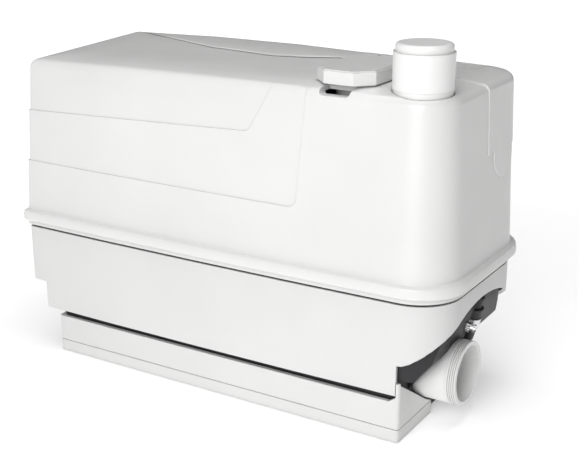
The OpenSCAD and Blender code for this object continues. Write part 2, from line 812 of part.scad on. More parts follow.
// Raised corner with its tongue, seen along the pump
module raise_zone() {
  low_z = deck_top + raise_z;
  tongue_y = raise_y + tongue_gap;
  translate([raise_x, 0, 0]) {
    translate([0, raise_y, low_z]) cube([far, far, far]);
    translate([0, tongue_y, low_z - tongue_l + tongue_w / 2]) cube([far, tongue_w, tongue_l]);
    translate([0, tongue_y + tongue_w / 2, low_z - tongue_l + tongue_w / 2]) on_x() cylinder(r = tongue_w / 2, h = far);
  }
}
grommet_l = 18;
grommet_h = 11;
grommet_z = 1;
module at_pocket() {
  translate([pocket_right_x - pocket_l / 2, top_half - cover_t - pocket_margin - pocket_w / 2,
    cover_top + raise_step - pocket_h]) children();
}
module main_cover() {
  color("white") difference() {
    union() {
      difference() {
        union() {
          difference() {
            loft(concat(band_rings, top_rings(0, 0)));
            difference() {
              panel_zone();
              loft(concat([wall_ring(band_top, panel_step)], top_rings(panel_step, -panel_step / 2)));
            }
            difference() {
              hood_zone();
              loft(concat([wall_ring(hood_base, hood_step)], top_rings(hood_step + hood_lean, -hood_step / 2)));
            }
          }
          intersection() {
            loft(concat([wall_ring(raise_base, -raise_step)], top_rings(-raise_step, raise_step)));
            raise_zone();
          }
        }
        loft([wall_ring(deck_top - overrun, cover_inner), top_ring(cover_inner_top - top_edge_r, cover_inner),
          top_ring(cover_inner_top, cover_inner + top_edge_r)]);
        lid_pad();
      }
      at_pocket() up(-cover_t) linear_extrude(pocket_h - top_edge_r)
        rounded_rect(pocket_l + 2 * cover_t, pocket_w + 2 * cover_t, pocket_r + cover_t);
    }
    at_pocket() linear_extrude(far) rounded_rect(pocket_l, pocket_w, pocket_r);
    at_pocket() translate([pocket_l / 2 - grommet_l, pocket_w / 2 - overrun, grommet_z]) cube([grommet_l, far, grommet_h]);
    translate([tube_x, -tube_y, cover_inner_top - far / 2]) cylinder(r = tube_r + seat_fit, h = far);
    at_filter() up(-far) cylinder(r = filter_r + cup_t + seat_fit, h = 2 * far);
    finger_scoop();
    at_catches() translate([-catch_t, -catch_w / 2 - free_gap, catch_h - catch_lip_h - free_gap])
      cube([catch_t + catch_lip + free_gap, catch_w + 2 * free_gap, catch_lip_h + 2 * free_gap]);
  }
}

// Vent under the lid: the seat carries the cup, the filter and the hinge
cup_t = 2;
seat_plate_t = 0.7;
lid_margin = 3;
filter_y = lid_l / 2 - lid_front + seat_plate_t;
gasket_gap = 0.1;
gasket_h = lid_gap - seat_plate_t - gasket_gap;
knuckle_l = 10;
pin_y = lid_l - lid_front - knuckle_r;
pin_z = lid_bottom + lid_t / 2;
finger_run = 10;
finger_end_r = 3;
module at_filter() {
  translate([lid_x, filter_y, 0]) children();
}
module at_hinge() {
  translate([lid_x, pin_y, pin_z]) on_x() children();
}
module lid_outline(inset) {
  half = lid_w / 2 - inset;
  front = inset - lid_front;
  rear = pin_y - knuckle_r - free_gap - inset;
  cut = lid_cut - inset * (2 - sqrt(2));
  translate([lid_x, 0]) polygon([[cut - half, front], [half - cut, front], [half, front + cut], [half, rear - cut / 2],
    [half - cut / 2, rear], [cut / 2 - half, rear], [-half, rear - cut / 2], [-half, front + cut]]);
}
// Flat pad of the crown under the lid and its hinge
module lid_pad() {
  up(cover_top) linear_extrude(far) {
    lid_outline(-free_gap);
    translate([lid_x - lid_w / 2 + lid_cut / 2, 0]) square([lid_w - lid_cut, pin_y + 2 * knuckle_r + free_gap]);
  }
}
module finger_scoop() {
  translate([lid_x - finger_w / 2 + finger_end_r, finger_run - lid_front, cover_top - finger_h + finger_end_r])
    rotate([90, 0, 0]) {
      cylinder(r = finger_end_r, h = far);
      translate([finger_w - 2 * finger_end_r, 0, 0]) cylinder(r = finger_end_r, h = far);
      translate([0, -finger_end_r, 0]) cube([finger_w - 2 * finger_end_r, far, far]);
      translate([-finger_end_r, 0, 0]) cube([finger_w, far, far]);
    }
}
module vent_seat() {
  cup_r = filter_r + cup_t;
  color("gainsboro") difference() {
    union() {
      up(cover_top) linear_extrude(seat_plate_t) lid_outline(lid_margin);
      at_filter() up(cover_top - filter_h - cup_t) cylinder(r = cup_r, h = filter_h + cup_t);
      at_hinge() up(-knuckle_l / 2) {
        cylinder(r = knuckle_r, h = knuckle_l);
        translate([0, -knuckle_r, 0]) cube([pin_z - cover_top, 2 * knuckle_r, knuckle_l]);
      }
      translate([lid_x - knuckle_l / 2, pin_y - 2 * knuckle_r, cover_top]) cube([knuckle_l, 3 * knuckle_r, seat_plate_t]);
    }
    at_filter() up(cover_top - filter_h) cylinder(r = filter_r + seat_fit, h = far);
    translate([lid_x, -vent_y, cover_top - far]) cylinder(r = vent_r - line_t, h = far);
    at_hinge() through(pin_r);
    finger_scoop();
  }
}
module vent_lid() {
  side_x = lid_w / 2 - lid_cut / 2 - knuckle_l;
  edge = 1;
  color("white") difference() {
    union() {
      up(lid_bottom) linear_extrude(lid_t - edge) lid_outline(0);
      up(lid_bottom + lid_t - edge) linear_extrude(edge) lid_outline(edge);
      for (side = [0, 1]) mirror([side, 0, 0]) translate([side * -2 * lid_x, 0, 0]) translate([lid_x + side_x, 0, 0]) {
        translate([0, pin_y, pin_z]) on_x() cylinder(r = knuckle_r, h = knuckle_l);
        translate([0, pin_y - 2 * knuckle_r, lid_bottom + lid_t / 2 - knuckle_r / 2])
          cube([knuckle_l, 2 * knuckle_r, knuckle_r]);
      }
    }
    at_hinge() through(pin_r + run_fit);
  }
}
module lid_gasket() {
  color("dimgray") up(lid_bottom - gasket_h) linear_extrude(gasket_h) difference() {
    lid_outline(lid_margin);
    lid_outline(lid_margin * 2);
  }
}
module lid_hinge_pin() {
  color("silver") at_hinge() up(lid_cut / 2 - lid_w / 2) cylinder(r = pin_r, h = lid_w - lid_cut);
}
module vent_filter() {
  slot_n = 5;
  slot_pitch = filter_r * 1.5 / slot_n;
  color("darkslategray") difference() {
    at_filter() up(cover_top - filter_h) cylinder(r = filter_r, h = filter_h - cup_t);
    for (i = [0 : slot_n - 1])
      at_filter() translate([(i - slot_n / 2) * slot_pitch, -filter_r / 2, cover_top - 2 * cup_t])
        cube([cup_t, filter_r, far]);
  }
}
module vent_pipe() {
  color("gainsboro") translate([lid_x, -vent_y, deck_top]) {
    tube(vent_r, line_t, cover_top - filter_h - cup_t - deck_top);
    tube(vent_r + cup_t, line_t + cup_t, cup_t);
  }
}

// Inlets
groove_n = 4;
collar_out = 0.4;
pin_rise = 3;
flap_lap = 2.5;
module spigot(seat_x, reach) {
  barrel_r = spigot_r - collar_out;
  difference() {
    union() {
      up(seat_x) cylinder(r = barrel_r, h = reach - seat_x);
      up(reach - collar_l) cylinder(r = spigot_r, h = collar_l);
      up(seat_x - flange_t) cylinder(r = flange_r, h = flange_t);
    }
    up(seat_x - flange_t - overrun) cylinder(r = spigot_bore_r, h = reach);
    for (i = [0 : groove_n - 1])
      up(reach - collar_l * (i + 1) / (groove_n + 1)) difference() {
        cylinder(r = far, h = groove_d);
        sink() cylinder(r = spigot_r - groove_d, h = far);
      }
  }
}
module at_inlet_pin() {
  translate([inlet_seat_x - flange_t - pin_rise, -spigot_y, spigot_z + spigot_bore_r + pin_rise]) rotate([90, 0, 0]) children();
}
module inlet_spigot() {
  port = [hose_x - nipple_l * sin(hose_lean), hose_y, hose_z - nipple_l * cos(hose_lean)];
  ear_t = 3;
  ear_gap = 7;
  color("white") difference() {
    union() {
      at_inlet(1) spigot(inlet_seat_x, spigot_x);
      at_inlet_pin() for (side = [-1, 1]) up(side * (ear_gap + ear_t / 2) - ear_t / 2) {
        cylinder(r = pin_rise, h = ear_t);
        translate([0, -pin_rise, 0]) cube([pin_rise, pin_rise * 2, ear_t]);
      }
      intersection() {
        hose_bar(nipple_r, nipple_l * 2, nipple_l - hose_l);
        translate([inlet_seat_x, -spigot_y, spigot_z]) on_x() cylinder(r = far, h = far);
      }
    }
    at_inlet(1) up(inlet_seat_x - flange_t - overrun) cylinder(r = spigot_bore_r, h = tank_l);
    at_inlet_pin() through(pin_r);
    hose_bar(hose_r - 2 * hose_t, nipple_l, 0);
    translate([port[0], -spigot_y, spigot_z]) rotate([atan2(port[2] - spigot_z, port[1] + spigot_y) - 90, 0, 0])
      cylinder(r = hose_r / 2, h = norm([port[1] + spigot_y, port[2] - spigot_z]));
  }
}
module inlet_flap() {
  knuckle = 12;
  color("dimgray") difference() {
    union() {
      translate([inlet_seat_x - flange_t - inlet_flap_t - free_gap / 2, -spigot_y, spigot_z]) on_x()
        cylinder(r = spigot_bore_r + flap_lap, h = inlet_flap_t);
      at_inlet_pin() up(-knuckle / 2) cylinder(r = pin_rise - free_gap / 2, h = knuckle);
    }
    at_inlet_pin() through(pin_r + run_fit);
    at_inlet_pin() for (side = [-1, 1]) translate([-far / 2, -pin_rise - free_gap, side > 0 ? knuckle / 2 : -far])
      cube([far, far, far - knuckle / 2]);
  }
}
module inlet_flap_pin() {
  pin_l = 20;
  color("silver") at_inlet_pin() up(-pin_l / 2) cylinder(r = pin_r, h = pin_l);
}

module left_spigot() {
  color("white") at_inlet(-1) spigot(left_seat_x, left_spigot_x);
}
module left_blanking_cap() {
  color("dimgray") at_inlet(-1) difference() {
    up(left_spigot_x - plug_l) cylinder(r = spigot_r + plug_t, h = plug_l + plug_t);
    up(left_spigot_x - plug_l - overrun) cylinder(r = spigot_r + run_fit, h = plug_l + overrun);
  }
}
module breather_hose() {
  color("dimgray") at_hose() tube(hose_r, hose_t, hose_l);
}

// Worm-drive clips: a band with its housing, on the hose and on the blanking cap
module clip_band(r) {
  difference() {
    union() {
      cylinder(r = r + clip_t, h = clip_w);
      translate([r - clip_t, -worm_l / 2 + overrun, clip_w / 2 - worm_r - clip_t])
        cube([2 * worm_r + 2 * clip_t, worm_l - 2 * overrun, 2 * worm_r + 2 * clip_t]);
    }
    sink() cylinder(r = r + run_fit, h = clip_w + 2 * overrun);
    clip_screw_place(r) up(-worm_l) cylinder(r = worm_r + seat_fit, h = 3 * worm_l);
  }
}
module clip_screw_place(r) {
  translate([r + clip_t + worm_r, worm_l / 2, clip_w / 2]) rotate([90, 0, 0]) children();
}
module clip_screw(r) {
  slot = 0.8;
  clip_screw_place(r) difference() {
    union() {
      cylinder(r = worm_r, h = worm_l);
      sink() cylinder(r = worm_r + clip_t, h = overrun);
    }
    translate([-worm_r * 2, -slot / 2, -2 * overrun]) cube([worm_r * 4, slot, overrun + slot]);
  }
}
module at_clips() {
  at_hose_clip() children(0);
  at_inlet(-1) up(left_spigot_x - (plug_l + clip_w) / 2) rotate([0, 0, 120]) children(1);
}
module hose_clips() {
  color("silver") at_clips() {
    clip_band(hose_r);
    clip_band(spigot_r + plug_t);
  }
}
module clip_screws() {
  color("silver") at_clips() {
    clip_screw(hose_r);
    clip_screw(spigot_r + plug_t);
  }
}

// Pump: a spiral casing under a column that hangs from the deck
casing_top = casing_z + casing_t + casing_h;
spiral_n = 36;
hub_r = 9;
impeller_gap = 2;
impeller_z = casing_z + casing_t + impeller_gap + vane_h;
back_t = 3;
module at_pump() {
  translate([-pump_x, 0, 0]) children();
}
module spiral(extra) {
  polygon([for (i = [0 : spiral_n]) let(a = -90 - 360 * i / spiral_n, r = volute_r + volute_growth * (1 - i / spiral_n) + extra)
    [r * cos(a), r * sin(a)]]);
}
outlet_z = casing_z + casing_t + casing_h / 2;
bend_lead = 4;
stub_x = riser_x - bend_r - bend_lead;
module pump_casing() {
  color("dimgray") at_pump() difference() {
    union() {
      up(casing_z) linear_extrude(casing_t + casing_h) spiral(casing_t);
      translate([0, -riser_y, outlet_z]) on_x() cylinder(r = line_r + line_t, h = pump_x + stub_x);
    }
    up(casing_z + casing_t) linear_extrude(casing_h + overrun) spiral(0);
    translate([0, -riser_y, outlet_z]) on_x() cylinder(r = line_r, h = pump_x);
    up(casing_z - overrun) cylinder(r = suction_r, h = casing_h);
    up(casing_z - line_r) cylinder(r = volute_r + seat_fit, h = line_r);
    up(casing_top) linear_extrude(line_r) spiral(casing_t + seat_fit);
  }
}
cover_rim = 5;
module casing_cover() {
  color("gray") at_pump() difference() {
    union() {
      up(casing_top) linear_extrude(casing_t) spiral(casing_t);
      up(casing_top) cylinder(r = column_r - line_t - seat_fit, h = casing_t + cover_rim);
    }
    up(casing_top - overrun) cylinder(r = seat_r, h = casing_t + cover_rim + 2 * overrun);
  }
}
leg_w = 6;
module suction_plate() {
  strainer_t = 3;
  color("gray") at_pump() difference() {
    union() {
      up(casing_z - strainer_t) cylinder(r = volute_r, h = strainer_t);
      for (a = [0 : 60 : 300]) rotate([0, 0, a]) translate([volute_r - 2 * leg_w, -leg_w / 2, tank_floor_z])
        cube([leg_w * 1.5, leg_w, casing_z - tank_floor_z]);
    }
    up(tank_floor_z - overrun) cylinder(r = suction_r, h = casing_z);
  }
}
module impeller() {
  bend = impeller_r * 0.9;
  color("gainsboro") at_pump() difference() {
    union() {
      up(impeller_z) cylinder(r = impeller_r, h = back_t);
      up(impeller_z - vane_h) cylinder(r = hub_r, h = vane_h + back_t + back_t);
      for (i = [0 : vanes - 1]) rotate([0, 0, 360 * i / vanes]) intersection() {
        up(impeller_z - vane_h) cylinder(r = impeller_r - back_t / 4, h = vane_h + back_t / 2);
        translate([impeller_r / 2, -bend, 0]) difference() {
          cylinder(r = bend + vane_t / 2, h = impeller_z + back_t / 2);
          sink() cylinder(r = bend - vane_t / 2, h = impeller_z + 2 * back_t);
          translate([-far, -far / 2, -overrun]) cube([far - vane_t, far, far]);
          translate([-far / 2, -far, -overrun]) cube([far, far, far]);
        }
      }
    }
    sink() cylinder(r = shaft_r + run_fit, h = far);
  }
}
nut_r = 7.5;
nut_h = 5;
shaft_end_l = 1;
module impeller_nut() {
  color("silver") at_pump() up(impeller_z - vane_h - nut_h) difference() {
    cylinder(r = nut_r, h = nut_h, $fn = 6);
    sink() cylinder(r = shaft_r + run_fit, h = far);
  }
}

// Motor on the deck
flange_h = 12;
shield_h = 12;
housing_z = deck_top + flange_h;
housing_top = housing_z + housing_h;
shield_top = housing_top + shield_h;
stack_z = housing_z + (housing_h - stack_h) / 2;
journal_r = shaft_r - 1;
fan_h = 13;
fan_gap = 4;
fan_z = shield_top + fan_gap;
shaft_top = fan_z + fan_h + shaft_end_l;
shaft_bottom = impeller_z - vane_h - nut_h - shaft_end_l;
module motor_shaft() {
  color("silver") at_pump() {
    up(shaft_bottom) cylinder(r = shaft_r, h = shield_top - bearing_w - shaft_bottom);
    up(shield_top - bearing_w) cylinder(r = journal_r, h = shaft_top - shield_top + bearing_w);
  }
}
seat_r = 11;
seal_face_gap = 0.1;
seal_step = 2;
seat_h = casing_t + cover_rim - seal_step;
module seal_seat() {
  color("gainsboro") at_pump() up(casing_top) difference() {
    cylinder(r = seat_r - seat_fit, h = seat_h);
    sink() cylinder(r = shaft_r + free_gap, h = far);
  }
}
module seal_head() {
  head_h = 14;
  color("dimgray") at_pump() up(casing_top + seat_h + seal_face_gap) difference() {
    union() {
      cylinder(r = seat_r - seal_step / 2, h = head_h / 2);
      cylinder(r = seat_r - 3 * seal_step / 2, h = head_h);
    }
    sink() cylinder(r = shaft_r + run_fit, h = far);
  }
}
module pump_column() {
  window_w = 10;
  color("gainsboro") at_pump() difference() {
    union() {
      up(casing_top + casing_t) cylinder(r = column_r, h = deck_z - casing_top - casing_t);
      up(deck_z - flange_t) cylinder(r = column_r + 2 * flange_t, h = flange_t);
    }
    up(casing_top) cylinder(r = column_r - line_t, h = far);
    for (a = [0, 90]) rotate([0, 0, a]) translate([-column_r - overrun, -window_w / 2, deck_z - 3 * window_w])
      cube([2 * column_r + 2 * overrun, window_w, window_w * 1.5]);
  }
}
bolt_r = 2.5;
lug_r = 5.5;
bolt_circle_r = motor_r + lug_r;
bearing_lip = 3;
module at_bolts() {
  at_pump() for (a = [0 : 90 : 270]) rotate([0, 0, a]) translate([bolt_circle_r, 0, 0]) children();
}
module motor_flange() {
  color("lightgray") difference() {
    union() {
      at_pump() up(deck_top) cylinder(r = motor_r, h = flange_h);
      at_bolts() up(deck_top) cylinder(r = lug_r, h = flange_h);
      at_bolts() translate([-2 * lug_r, -lug_r, deck_top]) cube([2 * lug_r, 2 * lug_r, flange_h]);
    }
    at_pump() up(housing_z - bearing_w) cylinder(r = bearing_r + seat_fit, h = far);
    at_pump() up(deck_top - overrun) cylinder(r = bearing_r - bearing_lip, h = far);
    at_bolts() up(deck_top - overrun) cylinder(r = bolt_r + seat_fit, h = far);
  }
}
module bearing(z, bore) {
  ring_t = 2.5;
  groove = 1;
  color("silver") at_pump() up(z) difference() {
    cylinder(r = bearing_r, h = bearing_w);
    sink() cylinder(r = bore + run_fit, h = far);
    for (low = [-overrun, bearing_w - groove]) up(low) difference() {
      cylinder(r = bearing_r - ring_t, h = overrun + groove);
      sink() cylinder(r = bore + ring_t, h = far);
    }
  }
}
module lower_bearing() {
  bearing(housing_z - bearing_w, shaft_r);
}
module upper_bearing() {
  bearing(shield_top - bearing_w, journal_r);
}
housing_ribs = 30;
rib = 2;
stator_r = motor_r - rib - housing_t;
// Corners of one cooling rib, each its radius and its side
ribs_shape = [[motor_r - rib, -1], [motor_r, -1], [motor_r, 1], [motor_r - rib, 1]];
module stator_housing() {
  color("lightgray") difference() {
    at_pump() up(housing_z) linear_extrude(housing_h)
      polygon([for (i = [0 : housing_ribs - 1]) each [for (corner = ribs_shape)
        let(a = 360 * i / housing_ribs + corner[1] * asin(rib / 2 / motor_r)) corner[0] * [cos(a), sin(a)]]]);
    at_pump() up(housing_z - overrun) cylinder(r = stator_r, h = far);
  }
}
module stator_core() {
  outer = stator_r - seat_fit;
  tooth_tip = 1.5;
  slot_w = 4.5;
  slot_open = 1.6;
  color("slategray") at_pump() up(stack_z) difference() {
    cylinder(r = outer, h = stack_h);
    sink() cylinder(r = stator_bore_r, h = far);
    for (i = [0 : slots - 1]) rotate([0, 0, 360 * i / slots]) {
      translate([stator_bore_r - tooth_tip / 2, -slot_open / 2, -overrun]) cube([tooth_tip * 2, slot_open, far]);
      translate([stator_bore_r + tooth_tip, -slot_w / 2, -overrun]) cube([outer - stator_bore_r - 3 * tooth_tip, slot_w, far]);
    }
  }
}
module stator_winding() {
  end_gap = 4;
  side_gap = 3;
  height = (housing_h - stack_h) / 2 - end_gap;
  inner = stator_bore_r + side_gap;
  outer = stator_r - side_gap;
  middle = (inner + outer) / 2;
  color("peru") at_pump() for (side = [0, 1])
    up(side ? stack_z + stack_h : stack_z) mirror([0, 0, 1 - side]) rotate_extrude() {
      translate([inner, 0]) square([outer - inner, height / 2]);
      translate([middle, height / 2]) intersection() {
        circle((outer - inner) / 2);
        translate([-outer, 0]) square([2 * outer, height / 2]);
      }
    }
}
module rotor_core() {
  overhang = 2;
  ring_t = 6;
  color("slategray") at_pump() up(stack_z - overhang) difference() {
    union() {
      cylinder(r = stator_bore_r - air_gap, h = stack_h + 2 * overhang);
      up(-ring_t / 2) cylinder(r = stator_bore_r - ring_t / 2, h = stack_h + 2 * overhang + ring_t);
    }
    up(-overrun - ring_t) cylinder(r = shaft_r + run_fit, h = far);
  }
}
module motor_end_shield() {
  color("lightgray") difference() {
    union() {
      at_pump() up(housing_top) cylinder(r = motor_r, h = shield_h);
      at_bolts() up(housing_top) cylinder(r = lug_r, h = shield_h);
      at_bolts() translate([-2 * lug_r, -lug_r, housing_top]) cube([2 * lug_r, 2 * lug_r, shield_h]);
    }
    at_pump() up(shield_top - bearing_w) cylinder(r = bearing_r + seat_fit, h = far);
    at_pump() up(housing_top - overrun) cylinder(r = bearing_r - bearing_lip, h = far);
    at_bolts() up(housing_top - overrun) cylinder(r = bolt_r + seat_fit, h = far);
  }
}
module cooling_fan() {
  disc_t = 2;
  blade_t = 1.8;
  hub = 9;
  color("dimgray") at_pump() up(fan_z) difference() {
    union() {
      cylinder(r = fan_r, h = disc_t);
      cylinder(r = hub, h = fan_h);
      for (i = [0 : fan_blades - 1]) rotate([0, 0, 360 * i / fan_blades])
        translate([hub - blade_t / 2, -blade_t / 2, 0]) cube([fan_r - hub - blade_t, blade_t, fan_h]);
    }
    sink() cylinder(r = journal_r + run_fit, h = far);
  }
}
module fan_cowl() {
  wall = 2;
  grille_w = 4;
  grille_hub_r = 13;
  grille_n = 6;
  cowl_r = motor_r - wall / 2;
  height = fan_gap + fan_h + fan_gap + wall;
  color("dimgray") at_pump() up(shield_top) difference() {
    cylinder(r = cowl_r, h = height);
    sink() cylinder(r = cowl_r - wall, h = height - wall + overrun);
    for (i = [0 : grille_n - 1]) rotate([0, 0, 180 * i / grille_n]) difference() {
      translate([grille_w - cowl_r, -grille_w / 2, height - 2 * wall]) cube([2 * (cowl_r - grille_w), grille_w, 4 * wall]);
      up(height - 3 * wall) cylinder(r = grille_hub_r, h = 6 * wall);
    }
  }
}
module motor_bolts() {
  head_r = 4.2;
  head_h = 4;
  color("silver") at_bolts() {
    up(deck_top) cylinder(r = bolt_r, h = shield_top - deck_top);
    up(shield_top) cylinder(r = head_r, h = head_h);
  }
}

// Pump line: riser, check valve and discharge pipe share one bore
line_out_r = line_r + line_t;
sleeve_r = line_out_r + line_t;
seat_z = deck_top + valve_seat_h;
chamber_r = valve_r - line_t;
line_h = deck_top + line_z;
line_angle = atan2(riser_y - tube_y, tube_x - riser_x);
line_run = norm([tube_x - riser_x, tube_y - riser_y]);
module bend(r, start) {
  rotate([90, 0, 0]) rotate([0, 0, start]) rotate_extrude(angle = 90) translate([bend_r, 0]) circle(r);
}
module at_riser() {
  translate([riser_x, -riser_y, 0]) children();
}
module riser_run(r, start_x, top_z) {
  translate([start_x, 0, outlet_z]) on_x() cylinder(r = r, h = -bend_r - start_x);
  translate([-bend_r, 0, outlet_z + bend_r]) bend(r, -90);
  up(outlet_z + bend_r) cylinder(r = r, h = top_z - outlet_z - bend_r);
}
module riser_pipe() {
  start_x = stub_x - riser_x;
  color("gainsboro") at_riser() difference() {
    union() {
      riser_run(line_out_r, start_x, deck_z);
      translate([start_x - socket_l, 0, outlet_z]) on_x() cylinder(r = sleeve_r, h = socket_l + line_t);
      up(deck_z - flange_t) cylinder(r = line_out_r + flange_t, h = flange_t);
    }
    riser_run(line_r, start_x - socket_l, deck_z + overrun);
    translate([start_x - socket_l - overrun, 0, outlet_z]) on_x() cylinder(r = line_out_r + seat_fit, h = socket_l + overrun);
  }
}
valve_pin_r = 1.5;
valve_knuckle_r = 2.5;
valve_knuckle_w = 9;
valve_ear_t = 4;
valve_pin_x = flap_r + valve_pin_r;
valve_pin_z = seat_z + flap_t + seal_face_gap + valve_pin_r / 2;
stub_l = valve_r + socket_l + line_t;
module at_valve_pin() {
  translate([riser_x - valve_pin_x, -riser_y, valve_pin_z]) rotate([90, 0, 0]) children();
}
module at_line() {
  translate([riser_x, -riser_y, line_h]) rotate([0, 0, line_angle]) children();
}
module valve_body() {
  ear_x = valve_pin_r + free_gap;
  color("lightgray") difference() {
    union() {
      at_riser() up(deck_top) difference() {
        cylinder(r = valve_r, h = valve_h);
        up(valve_seat_h) cylinder(r = chamber_r, h = far);
      }
      at_riser() up(deck_top) cylinder(r = valve_r + flange_t, h = flange_t);
      intersection() {
        at_valve_pin() for (z = [valve_knuckle_w / 2 + free_gap / 2, -valve_knuckle_w / 2 - free_gap / 2 - valve_ear_t])
          up(z) {
            translate([-valve_r, seat_z - valve_pin_z, 0]) cube([valve_r + ear_x, valve_pin_z - seat_z, valve_ear_t]);
            translate([-valve_r, 0, 0]) cube([valve_r, ear_x, valve_ear_t]);
            cylinder(r = ear_x, h = valve_ear_t);
          }
        at_riser() cylinder(r = valve_r, h = far);
      }
      at_line() difference() {
        on_x() cylinder(r = line_out_r, h = stub_l);
        through(chamber_r);
      }
    }
    at_riser() cylinder(r = line_r, h = far);
    at_line() on_x() cylinder(r = line_r, h = far);
    at_valve_pin() through(valve_pin_r);
  }
}
module valve_flap() {
  color("dimgray") difference() {
    union() {
      at_riser() up(seat_z + seal_face_gap) cylinder(r = flap_r, h = flap_t);
      at_riser() up(seat_z + seal_face_gap) cylinder(r = line_r / 2, h = 2 * flap_t);
      at_valve_pin() up(-valve_knuckle_w / 2) cylinder(r = valve_knuckle_r, h = valve_knuckle_w);
      translate([riser_x - valve_pin_x, -riser_y - valve_knuckle_w / 2, seat_z + seal_face_gap])
        cube([valve_pin_x, valve_knuckle_w, flap_t]);
    }
    at_valve_pin() through(valve_pin_r + run_fit);
  }
}
module valve_pin() {
  pin_l = valve_knuckle_w + 2 * valve_ear_t;
  color("silver") at_valve_pin() up(-pin_l / 2) cylinder(r = valve_pin_r, h = pin_l);
}
module valve_cap() {
  cap_t = 4;
  plug_h = 6;
  grip_n = 8;
  color("gainsboro") at_riser() up(deck_top + valve_h) {
    difference() {
      union() {
        cylinder(r = valve_r + line_t, h = cap_t);
        up(-plug_h) cylinder(r = chamber_r - seat_fit, h = plug_h + cap_t);
      }
      up(-plug_h - overrun) cylinder(r = chamber_r - seat_fit - line_t, h = plug_h + overrun);
      for (i = [0 : grip_n - 1]) rotate([0, 0, 360 * i / grip_n]) translate([valve_r + 2 * line_t, 0, -overrun])
        cylinder(r = 2 * line_t, h = cap_t + 2 * overrun);
    }
    translate([-chamber_r / 2, -line_t, cap_t]) cube([chamber_r, 2 * line_t, cap_t]);
  }
}
module line_shape(r, start, top_z) {
  at_line() {
    translate([start, 0, 0]) on_x() cylinder(r = r, h = line_run - bend_r - start);
    translate([line_run - bend_r, 0, bend_r]) bend(r, -90);
    translate([line_run, 0, bend_r]) cylinder(r = r, h = top_z - line_h - bend_r);
  }
}
tube_top = cover_top + tube_out;
tube_floor = tube_top - socket_h;
tube_foot = tube_floor - socket_l;
module discharge_pipe() {
  color("gainsboro") difference() {
    union() {
      line_shape(line_out_r, stub_l, tube_foot - free_gap);
      at_line() translate([stub_l - socket_l, 0, 0]) on_x() cylinder(r = sleeve_r, h = socket_l + line_t);
    }
    line_shape(line_r, stub_l - socket_l, tube_foot + overrun);
    at_line() translate([stub_l - socket_l - overrun, 0, 0]) on_x() cylinder(r = line_out_r + seat_fit, h = socket_l + overrun);
  }
}
module at_tube() {
  translate([tube_x, -tube_y, 0]) children();
}
// A narrower neck stands in the cover's hole; the full pipe size starts just over the cover
neck_in = 0.4;
neck_rise = 1.5;
module discharge_tube() {
  color("white") at_tube() difference() {
    union() {
      up(tube_foot) cylinder(r = tube_r - neck_in, h = tube_top - tube_foot);
      up(cover_top + neck_rise) cylinder(r = tube_r, h = tube_out - neck_rise);
      up(tube_foot - socket_l / 2) cylinder(r1 = sleeve_r, r2 = tube_r - neck_in, h = socket_l / 2);
      up(tube_foot - 2 * socket_l) cylinder(r = sleeve_r, h = 2 * socket_l);
    }
    up(tube_floor) cylinder(r = socket_r, h = far);
    up(tube_foot - overrun) cylinder(r = line_r, h = far);
    up(tube_foot - far) cylinder(r = line_out_r + seat_fit, h = far);
  }
}
cap_round = 2.5;
cap_plug_h = 16;
cap_wall = 2.4;
module tube_cap() {
  outer = socket_r - run_fit;
  color("white") at_tube() up(tube_top) difference() {
    union() {
      up(-cap_plug_h) cylinder(r = outer, h = cap_plug_h + cap_out - cap_round);
      cylinder(r = outer - cap_round, h = cap_out);
      up(cap_out - cap_round) rotate_extrude() translate([outer - cap_round, 0]) circle(cap_round);
    }
    up(-cap_plug_h - overrun) cylinder(r = outer - cap_wall, h = cap_plug_h + overrun + cap_out - 2 * cap_wall);
  }
}

// Controls: the bell's air pressure lifts the switch plunger
chamber_gap = 1;
stem_r = 2.5;
stem_out = 6;
disc_h = 2;
switch_wall = 3;
switch_floor_z = deck_top + switch_wall;
module at_bell() {
  translate([bell_x, bell_y, 0]) children();
}
module level_switch() {
  block_l = 18;
  block_w = 8;
  color("gainsboro") at_bell() difference() {
    union() {
      up(deck_top) cylinder(r = switch_r, h = switch_h);
      translate([-block_l / 2, stem_r + switch_wall / 2, deck_top + switch_h]) cube([block_l, block_w, stem_out]);
    }
    up(switch_floor_z) cylinder(r = switch_r - switch_wall, h = switch_h - 2 * switch_wall);
    up(deck_top - overrun) cylinder(r = bell_neck_r + seat_fit, h = switch_wall + 2 * overrun);
    up(deck_top) cylinder(r = stem_r + run_fit, h = far);
  }
}
module switch_plunger() {
  disc_z = switch_floor_z + chamber_gap;
  color("dimgray") at_bell() {
    up(disc_z) cylinder(r = switch_r - switch_wall - chamber_gap, h = disc_h);
    up(disc_z) cylinder(r = stem_r, h = deck_top + switch_h + stem_out - disc_z);
  }
}
module pressure_bell() {
  neck_bore_r = bell_neck_r / 2;
  color("gainsboro") at_bell() difference() {
    union() {
      up(deck_z - bell_l) cylinder(r = bell_r, h = bell_l);
      up(deck_z - overrun) cylinder(r = bell_neck_r, h = switch_floor_z - deck_z + overrun);
    }
    up(deck_z - bell_l - overrun) cylinder(r = bell_r - line_t, h = bell_l - switch_wall + overrun);
    up(deck_z - bell_l) cylinder(r = neck_bore_r, h = far);
  }
}
